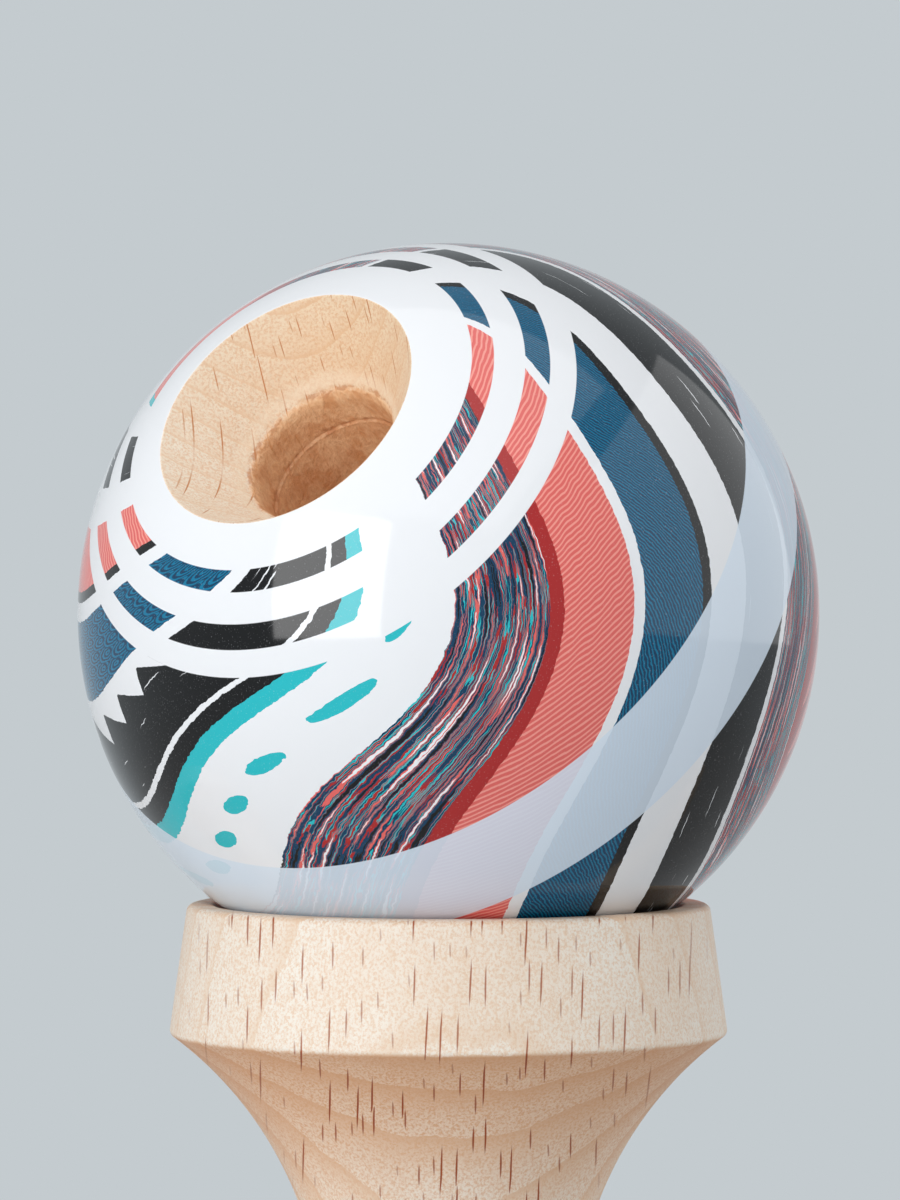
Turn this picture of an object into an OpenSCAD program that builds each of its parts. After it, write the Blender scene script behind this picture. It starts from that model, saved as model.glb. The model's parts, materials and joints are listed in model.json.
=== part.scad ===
// Kendama: a lacquered ball resting in the big cup of a wooden cross piece on a spiked handle.
// Millimetres, +Z up. The origin is the centre of the small cup's rim, which stands on the table.
// The cross piece (sarado) stands along Z and the handle (ken) lies along X, spike towards +X.
// The ball (tama) sits with its bevelled hole turned up and to the front left.

/* [Ball] */
// Diameter of the ball
ball_d = 60; // [56:0.5:66]
// Diameter of the bevelled mouth where it meets the ball's surface
mouth_d = 22.2; // [18:0.1:26]
// Angle between the bevel and the hole's axis
bevel_angle = 37.6; // [30:0.1:50]
// Rounding between the bevel and the throat
lip_round = 0.8; // [0.2:0.1:1.5]
// Length of the throat, the wider first stretch of the hole
throat_len = 3.2; // [1:0.1:6]
// Width of the ledge at the end of the throat
ledge = 0.25; // [0.1:0.05:0.6]
// Diameter of the spike hole below the ledge
bore_d = 11.7; // [10.8:0.1:13]
// Length of the spike hole below the ledge
bore_len = 20; // [16:0.5:24]
// Diameter of the bead's chamber below the spike hole
chamber_d = 10; // [9.4:0.1:11]
// Length of the bead's chamber
chamber_len = 7; // [6:0.1:8]
// Point angle of the drills that made the hole's steps and floor
drill_angle = 118; // [90:1:140]
// Diameter of the string hole through the floor
string_bore_d = 4; // [3:0.1:5]
// Chamfer where the string hole leaves the ball
string_chamfer = 0.6; // [0.2:0.1:1]

/* [Ball in the cup] */
// Lean of the spike hole from upright
hole_lean = 54; // [0:1:75]
// Heading of the spike hole, from +X towards +Y
hole_heading = 235.5; // [180:0.5:360]
// Clearance between the ball and the edge of the big bowl
seat_gap = 0.2; // [0.1:0.05:0.5]

/* [Bead] */
// Diameter of the bead that holds the string inside the ball
bead_d = 9; // [7:0.1:10]
// Diameter of the bead's own hole
bead_hole_d = 3; // [2:0.1:4]
// Chamfer at the ends of the bead's hole
bead_chamfer = 0.5; // [0.2:0.1:0.8]
// Clearance between the bead and the floor of its chamber
bead_gap = 0.2; // [0.1:0.05:0.5]

/* [Cross piece] */
// Diameter of the waist that the handle passes through
waist_d = 20.4; // [19:0.1:24]
// Radius of the hollow curve between the two cups
cove_r = 30.6; // [28:0.1:36]
// Distance from the handle's axis to the big cup's rim
big_arm = 35; // [32:0.5:40]
// Outer diameter of the big cup's rim
big_rim_d = 42.3; // [40:0.1:46]
// Depth of the big bowl
big_bowl_depth = 8.2; // [7.5:0.1:10]
// Distance from the handle's axis to the small cup's rim
small_arm = 32.5; // [30:0.5:36]
// Outer diameter of the small cup's rim
small_rim_d = 37.4; // [35:0.1:40]
// Depth of the small bowl
small_bowl_depth = 7; // [6:0.1:9]

/* [Cup edges] */
// Draft of the band below each rim
band_draft = 8; // [4:0.5:12]
// Width of the flat land between a bowl and its rim's outer edge
rim_land = 2.15; // [1.5:0.05:3]
// Rounding of a rim's outer edge
rim_round = 0.6; // [0.2:0.1:1]
// Rounding where a band turns into the hollow curve
band_round = 0.7; // [0.2:0.1:1.5]

/* [Handle] */
// Distance from the base rim to the cross piece's axis
grip_len = 70; // [62:0.5:80]
// Distance from the cross piece's axis to the tip of the spike
spike_len = 95; // [80:0.5:110]
// Outer diameter of the base cup's rim
base_rim_d = 36; // [33:0.1:39]
// Depth of the base bowl
base_bowl_depth = 6.5; // [5.5:0.1:8]
// Distance from the base rim to the neck
neck_len = 31; // [28:0.5:34]
// Diameter of the neck, the thinnest part of the grip
neck_d = 17; // [15:0.1:19]
// Radius of the hollow curve between the base cup and the neck
base_cove_r = 26; // [24:0.1:30]
// Diameter of the grip where it is thickest
belly_d = 20.4; // [18.5:0.1:23]
// Distance from the base rim to the thickest part of the grip
belly_len = 47; // [43:0.5:52]
// Diameter of the taper seat at the cross piece's axis
seat_d = 14.8; // [13.5:0.1:16]
// Angle between the taper seat and the handle's axis
seat_taper = 1.6; // [0.5:0.1:3]
// How far the taper seat stands out on each side of the waist
seat_reach = 1.8; // [1.5:0.1:3]
// Diameter of the spike just before its tip
tip_d = 7.4; // [6:0.1:9]
// Rounding of the tip
tip_round = 2.6; // [1:0.1:3]
// Radial clearance of the handle in the cross piece
taper_gap = 0.06; // [0.02:0.01:0.1]

/* [String holes] */
// Diameter of the string hole through the cross piece's waist and the handle
string_hole_d = 3.2; // [2.4:0.1:4]
// Diameter of the pocket in the handle that takes the string's knot
knot_pocket_d = 6; // [4.5:0.1:7]
// Depth of the knot pocket below the handle's axis
knot_pocket_floor = 2; // [1:0.1:4]

/* [Hidden] */
$fn = 96;

// How far a cut runs past the surface that it leaves
overrun = 5;
// Largest step along a round stretch of an outline, in degrees
arc_step = 3;
// Steps along an eased stretch of the grip
ease_steps = 10;

ball_r = ball_d / 2;
mouth_r = mouth_d / 2;
bore_r = bore_d / 2;
throat_r = bore_r + ledge;
chamber_r = chamber_d / 2;
string_bore_r = string_bore_d / 2;
bead_r = bead_d / 2;
waist_r = waist_d / 2;
big_rim_r = big_rim_d / 2;
small_rim_r = small_rim_d / 2;
base_rim_r = base_rim_d / 2;
seat_r = seat_d / 2;

// Heights along the ball's hole, from the ball's centre
mouth_h = sqrt(ball_r * ball_r - mouth_r * mouth_r);
throat_h = mouth_h - (mouth_r - throat_r) / tan(bevel_angle);
ledge_h = throat_h - throat_len;
bore_end_h = ledge_h - bore_len;
chamber_top_h = bore_end_h - (bore_r - chamber_r) / tan(drill_angle / 2);
floor_h = chamber_top_h - chamber_len;
floor_apex_h = floor_h - chamber_r / tan(drill_angle / 2);
bead_h = floor_apex_h + (bead_r + bead_gap) / sin(drill_angle / 2);

// Heights of the handle's axis, the big rim and the ball's centre above the table
handle_z = small_arm;
big_rim_z = small_arm + big_arm;
big_bowl_r = big_rim_r - rim_land;
ball_z = big_rim_z + sqrt(pow(ball_r + seat_gap, 2) - pow(big_bowl_r, 2));

// The taper seat and the spike, along the handle from its base rim
handle_len = grip_len + spike_len;
seat_half = waist_r + seat_reach;
seat_start = grip_len - seat_half;
seat_end = grip_len + seat_half;
spike_taper = atan((seat_radius(seat_end) - tip_d / 2) / (handle_len - seat_end));

// Radius of the taper seat at a distance from the base rim
function seat_radius(along) = seat_r + (grip_len - along) * tan(seat_taper);

// Radius of the sphere that makes a bowl of a given mouth radius and depth
function bowl_radius(mouth, depth) = (mouth * mouth + depth * depth) / (2 * depth);

// Points of an arc, both ends included
function arc(centre, radius, from, to) =
    let (steps = max(1, ceil(abs(to - from) / arc_step)))
    [for (i = [0:steps])
        let (angle = from + (to - from) * i / steps)
        centre + radius * [cos(angle), sin(angle)]];

// The same points without the first, and without the first and the last
function after_first(points) = [for (i = [1:len(points) - 1]) points[i]];
function between_ends(points) = [for (i = [1:len(points) - 2]) points[i]];

function reversed(points) = [for (i = [len(points) - 1:-1:0]) points[i]];

// Rounded corner between a flat end at a height and a side that drafts outwards below it
function end_corner(radius, height, draft, round) =
    arc([radius - round * (1 - sin(draft)) / cos(draft), height - round], round, 90, draft);

// Centre of the rounding between a drafted band and the hollow curve below it.
// The curve's centre lies at height zero, and the rim at the given height above it.
function band_centre(rim, height, cove_centre, cove) =
    let (
        outward = [cos(band_draft), sin(band_draft)],
        down = [sin(band_draft), -cos(band_draft)],
        start = [rim, height] - band_round * outward,
        from_cove = start - cove_centre,
        along = from_cove * down,
        off = from_cove * from_cove - pow(cove + band_round, 2)
    )
    start - (along + sqrt(along * along - off)) * down;

// Angle, seen from the hollow curve's centre, at which the band's rounding ends
function band_end(rim, height, cove_centre, cove) =
    let (offset = band_centre(rim, height, cove_centre, cove) - cove_centre)
    atan2(offset[1], offset[0]);

// Outline of a cup from its rim's outer edge down to the start of the hollow curve
function cup_edge(rim, height, cove_centre, cove) =
    concat(
        end_corner(rim, height, band_draft, rim_round),
        arc(
            band_centre(rim, height, cove_centre, cove),
            band_round,
            band_draft,
            band_end(rim, height, cove_centre, cove) - 180
        )
    );

// Eased stretch of the grip between two radii, without its first point
function eased(from_along, from_r, to_along, to_r) =
    [for (i = [1:ease_steps])
        let (share = i / ease_steps)
        [from_r + (to_r - from_r) * (1 - cos(180 * share)) / 2,
         from_along + (to_along - from_along) * share]];

// Half outline of the cross piece, as radius and height above the handle's axis
function cross_piece_outline() =
    let (
        cove_centre = [waist_r + cove_r, 0],
        big_end = band_end(big_rim_r, big_arm, cove_centre, cove_r),
        small_end = band_end(small_rim_r, small_arm, cove_centre, cove_r),
        small_edge = cup_edge(small_rim_r, small_arm, cove_centre, cove_r)
    )
    concat(
        [[0, big_arm]],
        cup_edge(big_rim_r, big_arm, cove_centre, cove_r),
        between_ends(arc(cove_centre, cove_r, big_end, 360 - small_end)),
        reversed([for (p = small_edge) [p[0], -p[1]]]),
        [[0, -small_arm]]
    );

// Half outline of the handle, as radius and distance from the base rim
function handle_outline() =
    let (
        neck_r = neck_d / 2,
        cove_centre = [neck_r + base_cove_r, 0],
        base_end = band_end(base_rim_r, neck_len, cove_centre, base_cove_r),
        base_edge = concat(
            cup_edge(base_rim_r, neck_len, cove_centre, base_cove_r),
            after_first(arc(cove_centre, base_cove_r, base_end, 180))
        )
    )
    concat(
        [[0, 0]],
        [for (p = base_edge) [p[0], neck_len - p[1]]],
        eased(neck_len, neck_r, belly_len, belly_d / 2),
        eased(belly_len, belly_d / 2, seat_start, seat_radius(seat_start)),
        [[seat_radius(seat_end), seat_end]],
        reversed(end_corner(tip_d / 2, handle_len, spike_taper, tip_round)),
        [[0, handle_len]]
    );

// Half outline of everything that is drilled and turned out of the ball along its hole
function ball_hole_outline() =
    let (
        top = ball_r + overrun,
        flare = mouth_r + (top - mouth_h) * tan(bevel_angle),
        lip_centre = [throat_r + lip_round, throat_h - lip_round * tan(bevel_angle / 2)],
        exit_h = -sqrt(ball_r * ball_r - string_bore_r * string_bore_r),
        chamfer_end = string_bore_r + string_chamfer + overrun
    )
    concat(
        [[0, top], [flare, top]],
        arc(lip_centre, lip_round, 180 - bevel_angle, 180),
        [
            [throat_r, ledge_h],
            [bore_r, ledge_h],
            [bore_r, bore_end_h],
            [chamber_r, chamber_top_h],
            [chamber_r, floor_h],
            [string_bore_r, floor_apex_h + string_bore_r / tan(drill_angle / 2)],
            [string_bore_r, exit_h + string_chamfer],
            [chamfer_end, exit_h - overrun],
            [0, exit_h - overrun]
        ]
    );

// Puts what is modelled along the ball's hole, about the ball's centre, in its place in the cup
module in_ball() {
    translate([0, 0, ball_z])
        rotate([0, hole_lean, hole_heading])
            children();
}

// Puts what is modelled along the handle, from its base rim, in its place through the waist
module along_handle() {
    translate([-grip_len, 0, handle_z])
        rotate([0, 90, 0])
            children();
}

// Hollow of a cup whose rim lies at height zero and opens upwards
module bowl(mouth, depth) {
    radius = bowl_radius(mouth, depth);
    translate([0, 0, radius - depth])
        sphere(r = radius);
}

// Cross piece: two cups back to back, turned in one piece, bored for the handle and the string
module cross_piece() {
    hole_start = seat_start - overrun;
    hole_end = seat_end + overrun;
    color("burlywood")
        difference() {
            translate([0, 0, handle_z])
                rotate_extrude()
                    polygon(cross_piece_outline());
            translate([0, 0, big_rim_z])
                bowl(big_bowl_r, big_bowl_depth);
            mirror([0, 0, 1])
                bowl(small_rim_r - rim_land, small_bowl_depth);
            along_handle()
                translate([0, 0, hole_start])
                    cylinder(
                        h = hole_end - hole_start,
                        r1 = seat_radius(hole_start) + taper_gap,
                        r2 = seat_radius(hole_end) + taper_gap
                    );
            translate([0, 0, handle_z])
                rotate([-90, 0, 0])
                    cylinder(h = waist_r + overrun, d = string_hole_d);
        }
}

// Handle: base cup, grip, taper seat and spike, turned in one piece
module handle() {
    color("burlywood")
        difference() {
            along_handle()
                rotate_extrude()
                    polygon(handle_outline());
            along_handle()
                mirror([0, 0, 1])
                    bowl(base_rim_r - rim_land, base_bowl_depth);
            translate([0, -seat_d, handle_z])
                rotate([-90, 0, 0])
                    cylinder(h = 2 * seat_d, d = string_hole_d);
            translate([0, -knot_pocket_floor, handle_z])
                rotate([90, 0, 0])
                    cylinder(h = seat_d, d = knot_pocket_d);
        }
}

// Ball: a sphere with a bevelled spike hole and a string hole opposite it
module ball() {
    color("whitesmoke")
        in_ball()
            difference() {
                sphere(r = ball_r);
                rotate_extrude()
                    polygon(ball_hole_outline());
            }
}

// Bead: the swivel on the floor of its chamber that the string is knotted through
module string_bead() {
    half_hole = bead_hole_d / 2;
    half_len = sqrt(bead_r * bead_r - half_hole * half_hole);
    color("ivory")
        in_ball()
            translate([0, 0, bead_h])
                difference() {
                    sphere(r = bead_r);
                    cylinder(h = bead_d + overrun, d = bead_hole_d, center = true);
                    for (side = [0, 1])
                        mirror([0, 0, side])
                            translate([0, 0, half_len - bead_chamfer])
                                cylinder(
                                    h = bead_chamfer + overrun,
                                    r1 = half_hole,
                                    r2 = half_hole + bead_chamfer + overrun
                                );
                }
}

cross_piece();
handle();
ball();
string_bead();
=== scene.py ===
"""Kendama: the looks of its turned beech pieces and of its printed, lacquered ball.

Everything is in metres, in the part's own frame: +Z up along the cross piece, from the small cup
on the table to the big cup, and +X along the handle to the tip of its spike. The ball rests in the
big cup with its bevelled hole turned up and to the front left.
"""

import json
import logging
import math
from dataclasses import dataclass
from enum import Enum
from typing import Callable, Sequence, Union

import bmesh
import bpy
from mathutils import Euler, Matrix, Vector


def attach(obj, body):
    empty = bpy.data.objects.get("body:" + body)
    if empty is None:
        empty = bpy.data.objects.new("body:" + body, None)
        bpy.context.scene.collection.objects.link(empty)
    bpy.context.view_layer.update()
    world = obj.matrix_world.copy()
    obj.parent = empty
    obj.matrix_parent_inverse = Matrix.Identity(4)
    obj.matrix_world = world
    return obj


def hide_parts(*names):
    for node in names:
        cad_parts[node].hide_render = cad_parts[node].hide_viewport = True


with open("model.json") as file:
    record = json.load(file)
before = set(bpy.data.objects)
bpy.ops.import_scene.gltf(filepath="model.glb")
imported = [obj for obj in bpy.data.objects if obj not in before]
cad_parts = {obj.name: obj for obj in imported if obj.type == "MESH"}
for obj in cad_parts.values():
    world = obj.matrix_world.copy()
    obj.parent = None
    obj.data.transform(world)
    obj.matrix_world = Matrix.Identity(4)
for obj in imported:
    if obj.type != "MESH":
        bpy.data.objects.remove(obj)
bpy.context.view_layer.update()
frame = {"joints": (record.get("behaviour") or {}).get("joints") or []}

LOG = logging.getLogger("kendama")
MM = 0.001
UP = Vector((0.0, 0.0, 1.0))
SHARP_ANGLE = math.radians(38)
MERGE_DISTANCE = 1e-7
ROUNDING_STEPS = 6
BOWL_STEPS = 24
DRILL_SIDES = 128

Colour = tuple[float, float, float]
Span = tuple[float, float]
Number = Union["Signal", float]
Triple = tuple["Signal", "Signal", "Signal"]


def srgb(red: int, green: int, blue: int) -> Colour:
    """Turns a colour as it is seen on screen into the linear colour that shaders take.

    Args:
        red: Red, 0 to 255.
        green: Green, 0 to 255.
        blue: Blue, 0 to 255.

    Returns:
        The linear colour, each channel 0 to 1.
    """
    channels = []
    for level in (red, green, blue):
        share = level / 255
        channels.append(share / 12.92 if share <= 0.04045 else ((share + 0.055) / 1.055) ** 2.4)
    return tuple(channels)


def linked(name: str, data: bpy.types.ID) -> bpy.types.Object:
    """Makes an object and links it to the scene.

    Args:
        name: The object's name.
        data: Its mesh, its lamp or its camera.

    Returns:
        The object.
    """
    made = bpy.data.objects.new(name, data)
    bpy.context.scene.collection.objects.link(made)
    return made


def mesh_object(name: str, mesh: bmesh.types.BMesh) -> bpy.types.Object:
    """Turns a bmesh into an object in the scene.

    Args:
        name: The object's name.
        mesh: The bmesh, which is freed.

    Returns:
        The object.
    """
    data = bpy.data.meshes.new(name)
    mesh.to_mesh(data)
    mesh.free()
    return linked(name, data)


class Signal:
    """One value on its way through a node tree; arithmetic on it adds math nodes."""

    def __init__(self, sheet: "Sheet", socket: bpy.types.NodeSocket) -> None:
        """Keeps the tree that the value belongs to and the socket that carries it."""
        self.sheet = sheet
        self.socket = socket

    def __add__(self, other: Number) -> "Signal":
        """Adds."""
        return self.sheet.math("ADD", self, other)

    __radd__ = __add__

    def __sub__(self, other: Number) -> "Signal":
        """Subtracts the other value."""
        return self.sheet.math("SUBTRACT", self, other)

    def __rsub__(self, other: Number) -> "Signal":
        """Subtracts this value from the other."""
        return self.sheet.math("SUBTRACT", other, self)

    def __mul__(self, other: Number) -> "Signal":
        """Multiplies."""
        return self.sheet.math("MULTIPLY", self, other)

    __rmul__ = __mul__

    def __truediv__(self, other: Number) -> "Signal":
        """Divides by the other value."""
        return self.sheet.math("DIVIDE", self, other)

    def fract(self) -> "Signal":
        """Keeps the part after the point."""
        return self.sheet.math("FRACT", self)

    def floor(self) -> "Signal":
        """Rounds down."""
        return self.sheet.math("FLOOR", self)

    def sin(self) -> "Signal":
        """Takes the sine of an angle in radians."""
        return self.sheet.math("SINE", self)

    def root(self) -> "Signal":
        """Takes the square root."""
        return self.sheet.math("SQRT", self)

    def size(self) -> "Signal":
        """Drops the sign."""
        return self.sheet.math("ABSOLUTE", self)

    def above(self, limit: float) -> "Signal":
        """Gives 1 above a limit and 0 elsewhere."""
        return self.sheet.math("GREATER_THAN", self, limit)

    def below(self, limit: float) -> "Signal":
        """Gives 1 below a limit and 0 elsewhere."""
        return self.sheet.math("LESS_THAN", self, limit)

    def between(self, low: float, high: float) -> "Signal":
        """Rises smoothly from 0 at the low value to 1 at the high one."""
        inputs = {"Value": self, "From Min": low, "From Max": high}
        return self.sheet.signal("ShaderNodeMapRange", "Result", inputs, interpolation_type="SMOOTHSTEP")


@dataclass(frozen=True)
class Place:
    """A place on a piece, in a frame of its own."""

    x: Signal
    y: Signal
    z: Signal

    def off_axis(self) -> Signal:
        """Gives the distance from the frame's z axis."""
        return (self.x * self.x + self.y * self.y).root()

    def noise(self, across: float, along: float, detail: float = 2.0, roughness: float = 0.5) -> Signal:
        """Gives smooth noise, about 0.5, drawn out along the frame's z axis.

        Args:
            across: Width of its features across that axis, in mm.
            along: Length of its features along that axis, in mm.
            detail: How many finer layers are added.
            roughness: How strong the finer layers are.

        Returns:
            The noise.
        """
        sheet = self.x.sheet
        spot = sheet.join(self.x / (across * MM), self.y / (across * MM), self.z / (along * MM))
        return sheet.noise(spot, detail, roughness)


class Sheet:
    """A node tree, written as arithmetic on signals."""

    def __init__(self, tree: bpy.types.NodeTree) -> None:
        """Keeps the tree that is written."""
        self.tree = tree

    def add(self, kind: str, inputs: dict | None = None, **settings: object) -> bpy.types.Node:
        """Adds a node.

        Args:
            kind: Blender's name for the node's type.
            inputs: A signal or a plain value for each input, by the input's name or number.
            settings: Values for the node's own properties.

        Returns:
            The new node.
        """
        node = self.tree.nodes.new(kind)
        for name, value in settings.items():
            setattr(node, name, value)
        for key, value in (inputs or {}).items():
            self.plug(node.inputs[key], value)
        return node

    def signal(self, kind: str, output: str | int, inputs: dict | None = None, **settings: object) -> Signal:
        """Adds a node and gives the signal of one of its outputs."""
        node = self.add(kind, inputs, **settings)
        return Signal(self, node.outputs[output])

    def plug(self, socket: bpy.types.NodeSocket, value: object) -> None:
        """Links a signal to a socket, or writes a plain value on it.

        Args:
            socket: The input that gets the value.
            value: A signal, a number, a vector or a colour.
        """
        if isinstance(value, Signal):
            self.tree.links.new(value.socket, socket)
        elif socket.type == "RGBA":
            socket.default_value = (*value, 1.0)
        else:
            socket.default_value = value

    def math(self, operation: str, *values: Number) -> Signal:
        """Adds a math node that works on one value or on two."""
        return self.signal("ShaderNodeMath", 0, dict(enumerate(values)), operation=operation)

    def join(self, *parts: Number) -> Signal:
        """Puts x, y and z together as a vector."""
        return self.signal("ShaderNodeCombineXYZ", 0, dict(enumerate(parts)))

    def split(self, vector: Signal) -> Triple:
        """Takes a vector apart into its x, y and z."""
        node = self.add("ShaderNodeSeparateXYZ", {0: vector})
        return tuple(Signal(self, output) for output in node.outputs)

    def read(self, coordinate: str, origin: Vector, turn: Euler) -> Triple:
        """Reads a texture coordinate in a frame of its own.

        Args:
            coordinate: Object for the place on the piece, Normal for the way that it faces.
            origin: Where that frame's origin lies in the part's frame.
            turn: How that frame is turned in the part's frame.

        Returns:
            The coordinate's x, y and z in that frame.
        """
        raw = self.signal("ShaderNodeTexCoord", coordinate)
        inputs = {"Vector": raw, "Location": origin, "Rotation": turn}
        return self.split(self.signal("ShaderNodeMapping", "Vector", inputs, vector_type="TEXTURE"))

    def place(self, origin: Vector, turn: Euler) -> Place:
        """Gives the place on the piece in a frame with its own origin and turn."""
        return Place(*self.read("Object", origin, turn))

    def facing(self, turn: Euler) -> Triple:
        """Gives the piece's own normal in a turned frame, as x, y and z."""
        return self.read("Normal", Vector(), turn)

    def noise(self, vector: Signal, detail: float = 2.0, roughness: float = 0.5) -> Signal:
        """Gives smooth noise, about 0.5, with features about one unit across."""
        inputs = {"Vector": vector, "Scale": 1.0, "Detail": detail, "Roughness": roughness}
        return self.signal("ShaderNodeTexNoise", "Fac", inputs)

    def seeds(self, x: Signal, y: Signal, scatter: float = 0.9) -> Triple:
        """Scatters one seed in each unit cell of a plane.

        Args:
            x: Place along the cells' first side.
            y: Place along their second side.
            scatter: How far the seeds stray from an even grid, 0 to 1.

        Returns:
            How far the place lies from its nearest seed along x and along y, and that seed's own
            random number, 0 to 1.
        """
        node = self.add("ShaderNodeTexVoronoi", feature="F1", voronoi_dimensions="2D")
        self.plug(node.inputs["Vector"], self.join(x, y, 0.0))
        self.plug(node.inputs["Scale"], 1.0)
        self.plug(node.inputs["Randomness"], scatter)
        seed_x, seed_y, _ = self.split(Signal(self, node.outputs["Position"]))
        luck, _, _ = self.split(Signal(self, node.outputs["Color"]))
        return x - seed_x, y - seed_y, luck

    def mix(self, share: Number, first: object, second: object, blend: str = "MIX") -> Signal:
        """Mixes a share of the second colour into the first, in one of Blender's ways."""
        inputs = {0: share, 6: first, 7: second}
        return self.signal("ShaderNodeMix", 2, inputs, data_type="RGBA", blend_type=blend)

    def bands(self, value: Signal, stops: Sequence[tuple[float, Colour]]) -> Signal:
        """Gives a colour that changes in hard steps.

        Args:
            value: Value from 0 to 1 that picks the step.
            stops: Where each step starts, and its colour.

        Returns:
            The colour.
        """
        node = self.add("ShaderNodeValToRGB", {0: value})
        ramp = node.color_ramp
        ramp.interpolation = "CONSTANT"
        while len(ramp.elements) < len(stops):
            ramp.elements.new(0.5)
        for element, (start, _) in zip(ramp.elements, stops):
            element.position = start
        for element, (_, colour) in zip(ramp.elements, stops):
            element.color = (*colour, 1.0)
        return Signal(self, node.outputs[0])

    def seen(self) -> Signal:
        """Tells what is looked at, straight or in a reflection, from what only lights.

        Returns:
            1 where something is looked at and 0 where it only lights.
        """
        path = self.add("ShaderNodeLightPath")
        rays = ("Is Camera Ray", "Is Glossy Ray", "Is Transmission Ray")
        camera, glossy, transmission = (Signal(self, path.outputs[name]) for name in rays)
        return self.math("MINIMUM", camera + glossy + transmission, 1.0)

    def blend(self, share: Signal, first: bpy.types.Node, second: bpy.types.Node) -> None:
        """Mixes two shaders and sends them to the tree's output.

        Args:
            share: Share of the second shader.
            first: Node of the first shader.
            second: Node of the second shader.
        """
        node = self.add("ShaderNodeMixShader", {0: share})
        self.tree.links.new(first.outputs[0], node.inputs[1])
        self.tree.links.new(second.outputs[0], node.inputs[2])
        output = next(n for n in self.tree.nodes if n.type.startswith("OUTPUT"))
        self.tree.links.new(node.outputs[0], output.inputs["Surface"])


class Paint(Sheet):
    """The node tree of one material with a Principled shader."""

    def __init__(self, name: str) -> None:
        """Starts a material.

        Args:
            name: The material's name.
        """
        self.material = bpy.data.materials.new(name)
        self.material.use_nodes = True
        super().__init__(self.material.node_tree)
        self.shader = next(n for n in self.tree.nodes if n.type == "BSDF_PRINCIPLED")

    def bump(self, height: Signal, depth: float, strength: float) -> Signal:
        """Gives the normal of a surface that a height raises, in units of a depth in metres."""
        inputs = {"Distance": depth, "Strength": strength, "Height": height}
        return self.signal("ShaderNodeBump", "Normal", inputs)

    def dress(self, sockets: dict[str, object]) -> bpy.types.Material:
        """Fills the shader's sockets.

        Args:
            sockets: A value for each socket, by the socket's name.

        Returns:
            The finished material.
        """
        for name, value in sockets.items():
            self.plug(self.shader.inputs[name], value)
        return self.material


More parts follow.
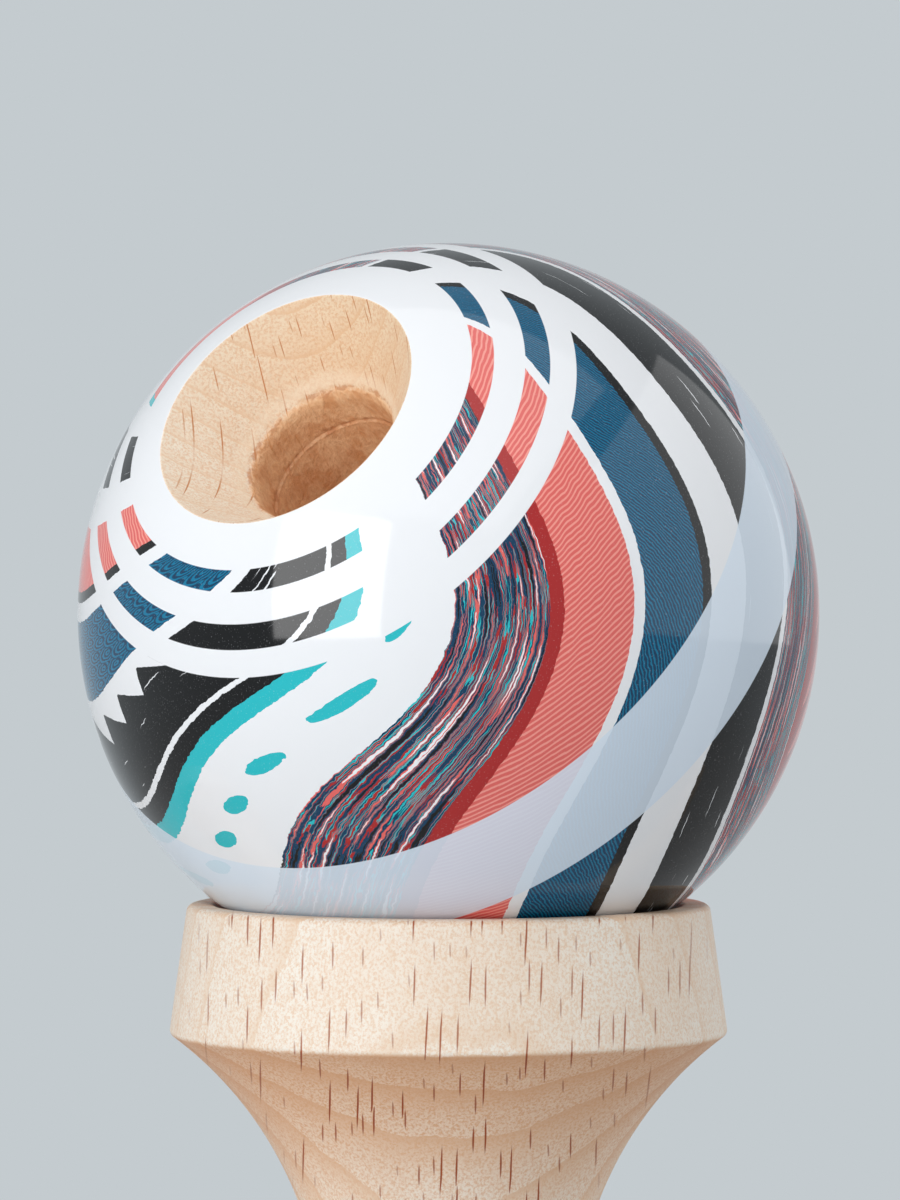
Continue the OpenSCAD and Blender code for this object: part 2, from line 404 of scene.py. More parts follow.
@dataclass(frozen=True)
class Beech:
    """Turned beech: growth rings about a pith, ray flecks along the grain, fine pores, warm end grain."""

    name: str
    pith: Vector
    grain: Vector
    bark: Vector
    ring: float = 3.4 * MM
    ring_contrast: Span = (0.15, 0.85)
    ring_line: float = 0.42
    light: Colour = srgb(246, 239, 228)
    late: Colour = srgb(234, 208, 182)
    pore: Colour = srgb(230, 196, 163)
    ray: Colour = srgb(160, 78, 26)
    end_stain: Colour = srgb(239, 210, 188)
    end_face: Span = (0.1, 0.65)
    stain_face: Span = (0.18, 0.86)
    fleck_face: Span = (0.15, 0.7)
    ends: Span = (-1.0, 1.0)
    # Depth at which the painted light on each rim starts, and depth at which it is full.
    rim_light_depth: Span = (0.9 * MM, 0.5 * MM)
    ray_gap: float = 1.1 * MM
    ray_run: float = 5.8 * MM
    ray_half_width: float = 0.08 * MM
    ray_half_length: Span = (0.5 * MM, 2.3 * MM)
    ray_sway: float = 0.12 * MM
    relief: float = 0.08 * MM

    @property
    def turn(self) -> Euler:
        """Finds the wood's own frame.

        Returns:
            The turn that lays z along the grain and y towards the bark.
        """
        along = self.grain.normalized()
        across = self.bark.cross(along).normalized()
        return Matrix((across, along.cross(across), along)).transposed().to_euler()

    def material(self) -> bpy.types.Material:
        """Builds the wood's node tree.

        Returns:
            The material.
        """
        sheet = Paint(self.name)
        place = sheet.place(self.pith, self.turn)
        _, face_on, end_on = sheet.facing(self.turn)
        end_share = end_on.size().between(*self.end_face)
        # The end stain is lifted near both rims: painted light on the rim roundings.
        stain_share = end_on.size().between(*self.stain_face) * (1 - self._painted_rim_light(place) * 0.85)
        rays = self._rays(place) * (0.12 + face_on.size().between(*self.fleck_face) * 0.88)
        grit = place.noise(0.21, 0.25, 3.0, 0.7)
        fibres = place.noise(0.3, 3)
        clouds = place.noise(7, 16)
        colour = sheet.mix(self._growth(place, end_share), self.light, self.late)
        colour = sheet.mix(clouds.between(0.4, 0.75) * 0.35, colour, self.late)
        colour = sheet.mix(fibres.between(0.45, 0.75) * 0.4, colour, self.late)
        colour = sheet.mix(grit.between(0.42, 0.64) * (0.72 + end_share * 0.28), colour, self.pore)
        colour = sheet.mix(rays * (1 + end_share * 0.4), colour, self.ray)
        colour = sheet.mix(stain_share, colour, self.end_stain, "MULTIPLY")
        colour, height = self._worked(sheet, colour, grit * 0.7 + fibres * 0.3)
        return sheet.dress(
            {
                "Base Color": colour,
                "Roughness": 0.46 + grit * 0.16,
                "Specular IOR Level": 0.5,
                "Normal": sheet.bump(height, self.relief, 0.5),
            }
        )

    def _painted_rim_light(self, place: Place) -> Signal:
        """Finds the rims at both ends of a piece, which are left pale as painted light on their roundings.

        Args:
            place: Place in the wood.

        Returns:
            1 at a rim and 0 away from it.
        """
        start, end = self.ends
        first, full = self.rim_light_depth
        depth = (place.z - (start + end) / 2).size() - (end - start) / 2
        return (depth / MM).between(-first / MM, -full / MM)

    def _worked(self, sheet: Sheet, colour: Signal, height: Signal) -> tuple[Signal, Signal]:
        """Leaves the wood as it is; drilled wood changes its colour and height here."""
        return colour, height

    def _growth(self, place: Place, end_share: Signal) -> Signal:
        """Draws the growth rings.

        Args:
            place: Place in the wood.
            end_share: How far the surface cuts across the grain, where the rings show best.

        Returns:
            How far the wood is late wood, 0 to 1: it darkens outwards and ends in a fine line.
        """
        sway = place.noise(8, 22) * 0.5
        fray = place.noise(0.5, 3, 1.0) * 0.07
        season = (place.off_axis() / self.ring + sway + fray).fract()
        line = season.between(0.86, 0.97) * (1 - season.between(0.985, 1.0))
        face_contrast, end_contrast = self.ring_contrast
        contrast = end_share * (end_contrast - face_contrast) + face_contrast
        return season.between(0.25, 0.97) * contrast + line * self.ring_line

    def _rays(self, place: Place) -> Signal:
        """Draws the rays, thin ribbons towards the bark that show as short dashes along the grain.

        Args:
            place: Place in the wood.

        Returns:
            How strongly a ray shows, 0 to 1.
        """
        sheet = place.x.sheet
        sway = sheet.noise(sheet.join(place.x / (1.2 * MM), place.z / (3 * MM), 0.0), 1.0) * self.ray_sway
        aside, along, luck = sheet.seeds((place.x + sway) / self.ray_gap, place.z / self.ray_run)
        shortest, longest = self.ray_half_length
        lean = along * (luck - 0.5) * (0.1 * self.ray_run)
        across = (aside * self.ray_gap + lean) / self.ray_half_width
        reach = along * self.ray_run / (shortest + luck * luck * (longest - shortest))
        outline = across * across + reach * reach
        return (1 - outline.between(0.3, 1.3)) * (0.35 + luck * 0.6)


@dataclass(frozen=True, kw_only=True)
class DrilledBeech(Beech):
    """Beech with a drilled hole: fuzzy torn sides darkened partly as painted shade, a chipped edge and ledge
    darkened partly as painted shade, a painted highlight on the lip, and painted warm shade on one side.
    """

    centre: Vector
    hole_turn: Euler
    hole: float
    ledge: float
    # Colour of the hole's inside: torn drilled wood, darkened partly as painted shade.
    torn_wall_and_shade: Colour = srgb(218, 158, 108)
    torn: Colour = srgb(248, 208, 164)
    # Darker marks at the hole's edge and ledge: chipped fibres, partly painted shade.
    chip_and_shade: Colour = srgb(184, 114, 64)
    # Painted highlight of the rounded lip round the hole.
    lip_highlight: Colour = srgb(250, 234, 210)
    # Painted warm shade on one side of the hole.
    hole_side_shade: Colour = srgb(243, 225, 203)

    def _worked(self, sheet: Sheet, colour: Signal, height: Signal) -> tuple[Signal, Signal]:
        """Paints warm shade on one side of the hole, by the way each surface faces, and darkens and roughens
        the hole's inside, partly as painted shade.

        Args:
            sheet: The material's node tree.
            colour: Colour of the plain wood.
            height: Height of its surface.

        Returns:
            The colour and the height with the drill's marks.
        """
        place = sheet.place(self.centre, self.hole_turn)
        hole_facing, aside, _ = sheet.facing(self.hole_turn)
        # Painted shade: a warm tint on the side of the hole that faces one way, standing in for warm bounce
        # light.
        warm = (hole_facing - aside * 0.2).between(-0.9, 1.3)
        torn = place.noise(0.5, 0.7, 4.0, 0.65)
        blotch = place.noise(1.6, 2.2)
        chips = place.noise(1.1, 0.6).between(0.5, 0.6)
        out = place.off_axis() / MM - self.hole / MM + torn * 0.5
        # Inside the hole the wood is darkened: partly torn drilled wood, partly painted shade.
        inside = 1 - out.between(0.12, 0.4)
        # A pale ring just outside the hole: a painted highlight on the rounded lip.
        lip = out.between(0.4, 0.6) * (1 - out.between(0.8, 1.5))
        edge = out.between(0.0, 0.2) * (1 - out.between(0.35, 0.5))
        # A darker band along the ledge: partly chipped fibres, partly painted shade at the step.
        step = 1 - (place.z / MM - self.ledge / MM + torn * 0.6 - 0.3).size().between(0.15, 0.5)
        mottle = torn.between(0.36, 0.64) * 0.45 + blotch.between(0.38, 0.62) * 0.55
        tone = sheet.mix(mottle, self.torn_wall_and_shade, self.torn)
        tone = sheet.mix((0.35 + chips * 0.5) * step, tone, self.chip_and_shade)
        # Lays the painted warm shade.
        colour = sheet.mix(warm, colour, self.hole_side_shade, "MULTIPLY")
        # Lays the painted lip highlight.
        colour = sheet.mix(lip * 0.45, colour, self.lip_highlight)
        # Darkens the hole's inside, partly as painted shade.
        colour = sheet.mix(inside * 0.85, colour, tone)
        colour = sheet.mix(chips * edge * 0.6, colour, self.chip_and_shade)
        return colour, height + torn * inside * 3 + torn * 1.8


class Ink(Enum):
    """The inks of the ball's print, as they are seen on screen."""

    WHITE = (240, 243, 247)
    CORAL = (229, 104, 99)
    BLUSH = (246, 159, 148)
    PETROL = (0, 58, 92)
    LAGOON = (0, 118, 158)
    TURQUOISE = (36, 190, 200)
    RED = (172, 38, 38)
    BLACK = (5, 5, 7)

    @property
    def linear(self) -> Colour:
        """The ink's linear colour."""
        return srgb(*self.value)


class Weave(Enum):
    """The fine drawing inside a ribbon of the print."""

    PLAIN = 0
    THREADS = 1
    TWILL = 2
    STREAKS = 3
    SCALES = 4
    BRUSHED = 5


@dataclass(frozen=True)
class Ribbon:
    """One ribbon of the print: its share of a turn, its ink and its fine drawing."""

    share: float
    ink: Ink
    weave: Weave = Weave.PLAIN


@dataclass(frozen=True)
class BallPrint:
    """White ground with slanting ribbons, white rings about the hole and a veil below them."""

    centre: Vector
    turn: Euler
    rings: tuple[float, ...] = (30.2, 33.5, 38.2, 42.0, 46.1)
    veil: Span = (78.0, 94.3)
    foot: float = 152.0
    slant: float = 0.36
    start: float = 1.08
    edge_softness: float = 0.06
    tooth_height: float = 0.024
    dots_across: float = 170
    scales_across: float = 60
    scale_height: float = 3.4
    skin_depth: float = 0.01 * MM
    veil_ink: Colour = srgb(222, 237, 252)
    veil_share: float = 0.86
    ribbons: tuple[Ribbon, ...] = (
        Ribbon(0.045, Ink.WHITE),
        Ribbon(0.070, Ink.CORAL, Weave.THREADS),
        Ribbon(0.012, Ink.BLACK),
        Ribbon(0.020, Ink.WHITE),
        Ribbon(0.074, Ink.PETROL, Weave.SCALES),
        Ribbon(0.016, Ink.WHITE),
        Ribbon(0.060, Ink.BLACK, Weave.BRUSHED),
        Ribbon(0.004, Ink.WHITE),
        Ribbon(0.012, Ink.BLACK),
        Ribbon(0.014, Ink.TURQUOISE),
        Ribbon(0.052, Ink.WHITE),
        Ribbon(0.068, Ink.PETROL, Weave.STREAKS),
        Ribbon(0.012, Ink.RED),
        Ribbon(0.066, Ink.CORAL, Weave.THREADS),
        Ribbon(0.012, Ink.WHITE),
        Ribbon(0.072, Ink.PETROL, Weave.TWILL),
        Ribbon(0.012, Ink.BLACK),
        Ribbon(0.050, Ink.WHITE),
        Ribbon(0.064, Ink.BLACK, Weave.BRUSHED),
        Ribbon(0.008, Ink.WHITE),
        Ribbon(0.072, Ink.PETROL, Weave.STREAKS),
        Ribbon(0.016, Ink.RED),
        Ribbon(0.060, Ink.CORAL, Weave.THREADS),
        Ribbon(0.010, Ink.TURQUOISE),
        Ribbon(0.036, Ink.WHITE),
        Ribbon(0.063, Ink.BLACK, Weave.BRUSHED),
    )

    def material(self) -> bpy.types.Material:
        """Builds the print's node tree under a clear gloss lacquer.

        Returns:
            The material.
        """
        sheet = Paint("printed_lacquer")
        place = sheet.place(self.centre, self.turn)
        far = (place.x * place.x + place.y * place.y + place.z * place.z).root()
        polar = sheet.math("ARCCOSINE", place.z / far) * (180 / math.pi)
        turn = sheet.math("ARCTAN2", place.y, place.x) / math.tau
        speck = place.noise(0.12, 0.12, 0.0).between(0.7, 0.8)
        flow = self._flow(polar, turn, place.noise(0.6, 0.6))
        colour = self._rings(self._ribbons(flow, polar), polar)
        colour = sheet.mix(speck * 0.08, colour, Ink.WHITE.linear)
        return sheet.dress(
            {
                "Base Color": colour,
                "Roughness": 0.26 + speck * 0.1,
                "Specular IOR Level": 0.0,
                "Coat Weight": 1.0,
                "Coat Roughness": 0.07,
                "Coat IOR": 1.45,
                "Normal": sheet.bump(place.noise(3, 3, 1.0), self.skin_depth, 0.1),
            }
        )

    def _flow(self, polar: Signal, turn: Signal, frayed: Signal) -> Signal:
        """Gives the place across the ribbons, as a share of a turn.

        Args:
            polar: Angle from the hole, in degrees.
            turn: Place round the hole, in turns.
            frayed: Fine noise that frays the ribbons' edges.

        Returns:
            The place, 0 to 1.
        """
        wave = (turn * (2 * math.tau) + polar * 0.045).sin() * 0.028
        curl = (turn * (3 * math.tau) - polar * 0.08).sin() * 0.014
        return (turn + polar * (self.slant / 90) + wave + curl + frayed * 0.003 + self.start).fract()

    def _by_ribbon(self, flow: Signal, choose: Callable[[Ribbon], Colour]) -> Signal:
        """Gives each ribbon a colour of its own.

        Args:
            flow: Place across the ribbons.
            choose: Gives the colour for a ribbon.

        Returns:
            The colour at that place.
        """
        start = 0.0
        stops = []
        for ribbon in self.ribbons:
            stops.append((start, choose(ribbon)))
            start += ribbon.share
        return flow.sheet.bands(flow, stops)

    def _ribbons(self, flow: Signal, polar: Signal) -> Signal:
        """Inks the ribbons and draws the fine lines inside them.

        Args:
            flow: Place across the ribbons.
            polar: Angle from the hole, in degrees.

        Returns:
            The colour.
        """
        sheet = flow.sheet
        waver = sheet.noise(sheet.join(flow * 60, polar / 6, 0.0), 1.0) * 1.2
        threads = ((polar * 1.6 - flow * 47 + waver) * math.tau).sin().between(-0.1, 0.8)
        twill = ((flow * 438 - polar * 1.6 + waver) * math.tau).sin().between(-0.2, 0.8)
        brushed = sheet.noise(sheet.join(flow * 380, polar / 9, 5.0), 1.0).between(0.71, 0.74)
        drawings = (
            (Weave.THREADS, threads, Ink.BLUSH.linear),
            (Weave.TWILL, twill, Ink.LAGOON.linear),
            (Weave.STREAKS, 1.0, self._streaks(flow, polar)),
            (Weave.SCALES, self._scales(flow, polar), Ink.LAGOON.linear),
            (Weave.BRUSHED, brushed, Ink.WHITE.linear),
        )
        motifs = (
            (self._teeth(flow - 0.237, polar / 7), Ink.WHITE.linear),
            (self._teeth(flow - 0.831, polar / 5), Ink.RED.linear),
            (self._dots(flow - 0.353, polar / 7), Ink.TURQUOISE.linear),
        )
        colour = self._by_ribbon(flow, lambda ribbon: ribbon.ink.linear)
        for weave, share, ink in drawings:
            woven = self._by_ribbon(flow, lambda ribbon: (float(ribbon.weave is weave),) * 3)
            colour = sheet.mix(woven * share, colour, ink)
        below_rings = polar.above(self.rings[-1])
        for shape, ink in motifs:
            colour = sheet.mix(below_rings * shape, colour, ink)
        return colour

    def _teeth(self, rise: Signal, count: Signal) -> Signal:
        """Draws a row of triangles along the edge of a ribbon.

        Args:
            rise: Height above the row's foot, as a share of a turn.
            count: Place along the row, in triangles.

        Returns:
            1 on a triangle and 0 elsewhere.
        """
        level = rise / self.tooth_height
        side = (count.fract() * 2 - 1).size()
        return level.above(0.0) * (level + side).below(1.0)

    def _dots(self, aside: Signal, count: Signal) -> Signal:
        """Draws a row of round dots along a ribbon.

        Args:
            aside: Distance from the row's middle, as a share of a turn.
            count: Place along the row, in dots.

        Returns:
            1 on a dot and 0 elsewhere.
        """
        across = aside * self.dots_across
        along = (count.fract() - 0.5) * 4
        return (across * across + along * along).below(1.0)

    def _streaks(self, flow: Signal, polar: Signal) -> Signal:
        """Draws a bundle of fine streaks in all the inks, along the ribbon.

        Args:
            flow: Place across the ribbons.
            polar: Angle from the hole, in degrees.

        Returns:
            The streaks' colour.
        """
        sheet = flow.sheet
        pick = sheet.noise(sheet.join(flow * 420, polar / 14, 3.0), 1.0)
        inks = (
            (0.0, Ink.BLACK),
            (0.16, Ink.PETROL),
            (0.36, Ink.RED),
            (0.5, Ink.TURQUOISE),
            (0.58, Ink.PETROL),
            (0.72, Ink.CORAL),
            (0.86, Ink.WHITE),
        )
        return sheet.bands(pick.between(0.2, 0.8), [(start, ink.linear) for start, ink in inks])

    def _scales(self, flow: Signal, polar: Signal) -> Signal:
        """Draws rows of overlapping scallops, each of three arcs.

        Args:
            flow: Place across the ribbons.
            polar: Angle from the hole, in degrees.

        Returns:
            1 on a line and 0 between the lines.
        """
        across = flow * self.scales_across
        down = polar / self.scale_height
        lines: Number = 0.0
        for step in (1, 0):
            level = down.floor() + step
            side = ((across + (level * 0.5).fract()).fract() - 0.5) * 2
            drop = level - down
            far = (side * side + drop * drop).root()
            arcs = 1 - ((far * 3).fract() - 0.5).size().between(0.16, 0.3)
            inside = 1 - far.between(0.98, 1.0)
            lines = arcs * inside + lines * (1 - inside)
        return lines

    def _rings(self, colour: Signal, polar: Signal) -> Signal:
        """Lays the white cap, the white rings, the veil and the white foot over the ribbons.

        Args:
            colour: Colour of the ribbons.
            polar: Angle from the hole, in degrees.

        Returns:
            The colour with the rings on it.
        """
        sheet = polar.sheet
        white: Number = 1.0
        for number, edge in enumerate((*self.rings, self.foot)):
            change = -1.0 if number % 2 == 0 else 1.0
            white = self._past(polar, edge) * change + white
        veil = self._past(polar, self.veil[0]) - self._past(polar, self.veil[1])
        colour = sheet.mix(veil * self.veil_share, colour, self.veil_ink)
        return sheet.mix(white, colour, Ink.WHITE.linear)

    def _past(self, polar: Signal, edge: float) -> Signal:
        """Gives 1 past an edge, in degrees from the hole, and 0 before it."""
        return polar.between(edge - self.edge_softness, edge + self.edge_softness)


@dataclass(frozen=True)
class BeadWood:
    """Waxed wood of the small bead, with a fine end grain."""

    centre: Vector
    turn: Euler
    light: Colour = srgb(216, 184, 138)
    dark: Colour = srgb(178, 138, 92)
    relief: float = 0.03 * MM

    def material(self) -> bpy.types.Material:
        """Builds the bead's node tree.

        Returns:
            The material.
        """
        sheet = Paint("bead_wood")
        rings = sheet.place(self.centre, self.turn).noise(0.8, 4, 3.0)
        return sheet.dress(
            {
                "Base Color": sheet.mix(rings.between(0.35, 0.7), self.light, self.dark),
                "Roughness": 0.38 + rings * 0.15,
                "Specular IOR Level": 0.4,
                "Normal": sheet.bump(rings, self.relief, 0.3),
            }
        )


class Lathe:
    """A half outline, drawn in the XZ plane with bmesh operators and turned about Z."""

    def __init__(self, radius: float, height: float) -> None:
        """Starts the outline at a point.

        Args:
            radius: Distance from the axis.
            height: Place along the axis.
        """
        self.mesh = bmesh.new()
        self.first = self.mesh.verts.new((radius, 0.0, height))
        self.last = self.first
        self.corners: list[tuple[bmesh.types.BMVert, float]] = []

    def line(self, radius: float, height: float, rounding: float = 0.0) -> None:
        """Goes straight to a point.

        Args:
            radius: The point's distance from the axis.
            height: The point's place along the axis.
            rounding: How far from the point its corner starts to round, or 0 for a sharp corner.
        """
        point = self.mesh.verts.new((radius, 0.0, height))
        self.mesh.edges.new((self.last, point))
        self.last = point
        if rounding > 0:
            self.corners.append((point, rounding))

    def arc(self, radius: float, height: float, degrees: float, steps: int, rounding: float = 0.0) -> None:
        """Goes round a centre, anticlockwise where the angle is positive.

        Args:
            radius: The centre's distance from the axis.
            height: The centre's place along the axis.
            degrees: Angle of the arc.
            steps: Number of edges in the arc.
            rounding: How far from the arc's end the corner there starts to round, or 0.
        """
        made = bmesh.ops.spin(
            self.mesh,
            geom=[self.last],
            cent=(radius, 0.0, height),
            axis=(0.0, -1.0, 0.0),
            angle=math.radians(degrees),
            steps=steps,
        )
        self.last = next(part for part in made["geom_last"] if isinstance(part, bmesh.types.BMVert))
        if rounding > 0:
            self.corners.append((self.last, rounding))

    def close(self) -> None:
        """Goes straight back to the start."""
        self.mesh.edges.new((self.last, self.first))

    def turned(self, steps: int) -> bmesh.types.BMesh:
        """Rounds the corners and turns the outline about the axis.

        Args:
            steps: Number of faces round the axis.

        Returns:
            The closed, turned mesh.
        """
        for corner, rounding in self.corners:
            bmesh.ops.bevel(
                self.mesh,
                geom=[corner],
                offset=rounding,
                offset_type="OFFSET",
                segments=ROUNDING_STEPS,
                profile=0.5,
                affect="VERTICES",
                material=-1,
            )
        bmesh.ops.spin(
            self.mesh,
            geom=self.mesh.verts[:] + self.mesh.edges[:],
            cent=(0.0, 0.0, 0.0),
            axis=UP,
            angle=math.tau,
            steps=steps,
            use_merge=True,
        )
        bmesh.ops.remove_doubles(self.mesh, verts=self.mesh.verts[:], dist=MERGE_DISTANCE)
        bmesh.ops.recalc_face_normals(self.mesh, faces=self.mesh.faces[:])
        return self.mesh


def drill_rod(start: Vector, end: Vector, radius: float, taper: float = 0.0) -> bmesh.types.BMesh:
    """Makes a drill between two points, or a reamer that tapers.

    Args:
        start: One end of its axis.
        end: The other end.
        radius: Its radius half way along.
        taper: How much wider it is at the start, and how much narrower at the end.

    Returns:
        The drill's mesh.
    """
    mesh = bmesh.new()
    axis = end - start
    bmesh.ops.create_cone(
        mesh,
        cap_ends=True,
        segments=DRILL_SIDES,
        radius1=radius + taper,
        radius2=radius - taper,
        depth=axis.length,
        matrix=Matrix.Translation((start + end) / 2) @ UP.rotation_difference(axis).to_matrix().to_4x4(),
    )
    return mesh


@dataclass
class Piece:
    """A turned piece that stands for one node of the frame."""

    node: str
    body: str
    slot: str

    def show(
        self,
        mesh: bmesh.types.BMesh,
        materials: Sequence[bpy.types.Material],
        cutters: Sequence[bmesh.types.BMesh] = (),
    ) -> None:
        """Makes the piece's object, drills it and puts it on its body.

        Args:
            mesh: The piece's mesh, in the part's frame.
            materials: Its materials, in the order of the faces' material numbers.
            cutters: Meshes of what is drilled out.
        """
        piece = mesh_object(self.node + "_turned", mesh)
        for cutter in cutters:
            self._drill(piece, mesh_object("drill", cutter))
        for material in materials:
            piece.data.materials.append(material)
        piece.data.shade_smooth()
        piece.data.set_sharp_from_angle(angle=SHARP_ANGLE)
        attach(piece, self.body)
        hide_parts(self.node)
        LOG.info("%s: %d faces on body %s", piece.name, len(piece.data.polygons), self.body)

    def _drill(self, piece: bpy.types.Object, cutter: bpy.types.Object) -> None:
        """Cuts one object out of another and removes the cutter.

        Args:
            piece: What is drilled.
            cutter: What is cut out.
        """
        cut = piece.modifiers.new("drill", "BOOLEAN")
        cut.operation = "DIFFERENCE"
        cut.solver = "EXACT"
        cut.object = cutter
        bpy.context.view_layer.update()
        cut_piece = piece.evaluated_get(bpy.context.evaluated_depsgraph_get())
        drilled = bpy.data.meshes.new_from_object(cut_piece)
        whole = piece.data
        piece.modifiers.remove(cut)
        piece.data = drilled
        bpy.data.meshes.remove(whole)
        bpy.data.objects.remove(cutter)


@dataclass
class Cup:
    """One cup on the hollow curve that carries it: bowl, rim and band."""

    rim: float
    depth: float
    arm: float
    neck: float
    cove: float
    land: float = 2.15 * MM
    draft: float = math.radians(8)
    rim_rounding: float = 0.5 * MM
    band_rounding: float = 0.3 * MM
    lip_rounding: float = 0.3 * MM

    @property
    def mouth(self) -> float:
        """Radius of the bowl's mouth."""
        return self.rim - self.land

    @property
    def sphere(self) -> float:
        """Radius of the sphere that makes the bowl."""
        return (self.mouth * self.mouth + self.depth * self.depth) / (2 * self.depth)

    @property
    def bowl_angle(self) -> float:
        """Angle of the bowl's half outline, in degrees."""
        return math.degrees(math.asin(self.mouth / self.sphere))

    @property
    def cove_centre(self) -> float:
        """Distance of the hollow curve's centre from the axis."""
        return self.neck + self.cove

    @property
    def corner(self) -> Span:
        """Finds where the band's side meets the hollow curve.

        Returns:
            The corner's radius, and its height above the hollow curve's centre.
        """
        down_r = math.sin(self.draft)
        down_h = -math.cos(self.draft)
        from_r = self.rim - self.cove_centre
        along = from_r * down_r + self.arm * down_h
        off = from_r * from_r + self.arm * self.arm - self.cove * self.cove
        run = -along - math.sqrt(along * along - off)
        return self.rim + run * down_r, self.arm + run * down_h

    @property
    def cove_angle(self) -> float:
        """Angle of the band's corner about the hollow curve's centre, in degrees."""
        radius, height = self.corner
        return math.degrees(math.atan2(height, radius - self.cove_centre))


@dataclass
class CrossPiece(Piece):
    """The cross piece: two cups back to back on a waist, bored for the handle and the string."""

    node: str = "cross_piece"
    body: str = "cross_piece"
    slot: str = "beech"
    waist: float = 10.2 * MM
    cove: float = 30.6 * MM
    big_arm: float = 35 * MM
    big_rim: float = 21.15 * MM
    big_depth: float = 8.2 * MM
    small_arm: float = 32.5 * MM
    small_rim: float = 18.7 * MM
    small_depth: float = 7 * MM
    taper_radius: float = 7.4 * MM
    taper_angle: float = math.radians(1.6)
    taper_gap: float = 0.06 * MM
    string_radius: float = 1.6 * MM
    overrun: float = 5 * MM
    cove_steps: int = 72
    turns: int = 224

    @property
    def handle_height(self) -> float:
        """Height of the handle's axis above the table."""
        return self.small_arm

    def build(self) -> None:
        """Turns the cross piece, bores it and dresses it in beech."""
        mesh = self._outline().turned(self.turns)
        bmesh.ops.translate(mesh, verts=mesh.verts[:], vec=(0.0, 0.0, self.handle_height))
        wood = Beech(
            "beech_cross_piece",
            pith=Vector((-0.8 * MM, 24.15 * MM, 0.0)),
            grain=UP,
            bark=Vector((0.0, -1.0, 0.0)),
            ends=(0.0, self.small_arm + self.big_arm),
        )
        self.show(mesh, [wood.material()], self._drills())

    def _outline(self) -> Lathe:
        """Draws the half outline, from the big bowl's floor to the small bowl's.

        Returns:
            The outline, with heights counted from the handle's axis.
        """
        big = Cup(self.big_rim, self.big_depth, self.big_arm, self.waist, self.cove)
        small = Cup(self.small_rim, self.small_depth, self.small_arm, self.waist, self.cove)
        big_floor = big.arm - big.depth
        small_floor = small.arm - small.depth
        cove_sweep = 360 - small.cove_angle - big.cove_angle
        lathe = Lathe(0.0, big_floor)
        lathe.arc(0.0, big_floor + big.sphere, big.bowl_angle, BOWL_STEPS, big.lip_rounding)
        lathe.line(big.rim, big.arm, big.rim_rounding)
        lathe.line(*big.corner, big.band_rounding)
        lathe.arc(big.cove_centre, 0.0, cove_sweep, self.cove_steps, small.band_rounding)
        lathe.line(small.rim, -small.arm, small.rim_rounding)
        lathe.line(small.mouth, -small.arm, small.lip_rounding)
        lathe.arc(0.0, -(small_floor + small.sphere), small.bowl_angle, BOWL_STEPS)
        return lathe

    def _drills(self) -> list[bmesh.types.BMesh]:
        """Makes the reamer for the handle's taper and the drill for the string.

        Returns:
            The meshes of both.
        """
        axis = UP * self.handle_height
        half = self.waist + self.overrun
        across = Vector((half, 0.0, 0.0))
        back = Vector((0.0, half, 0.0))
        bore = self.taper_radius + self.taper_gap
        reamer = drill_rod(axis - across, axis + across, bore, half * math.tan(self.taper_angle))
        return [reamer, drill_rod(axis, axis + back, self.string_radius)]


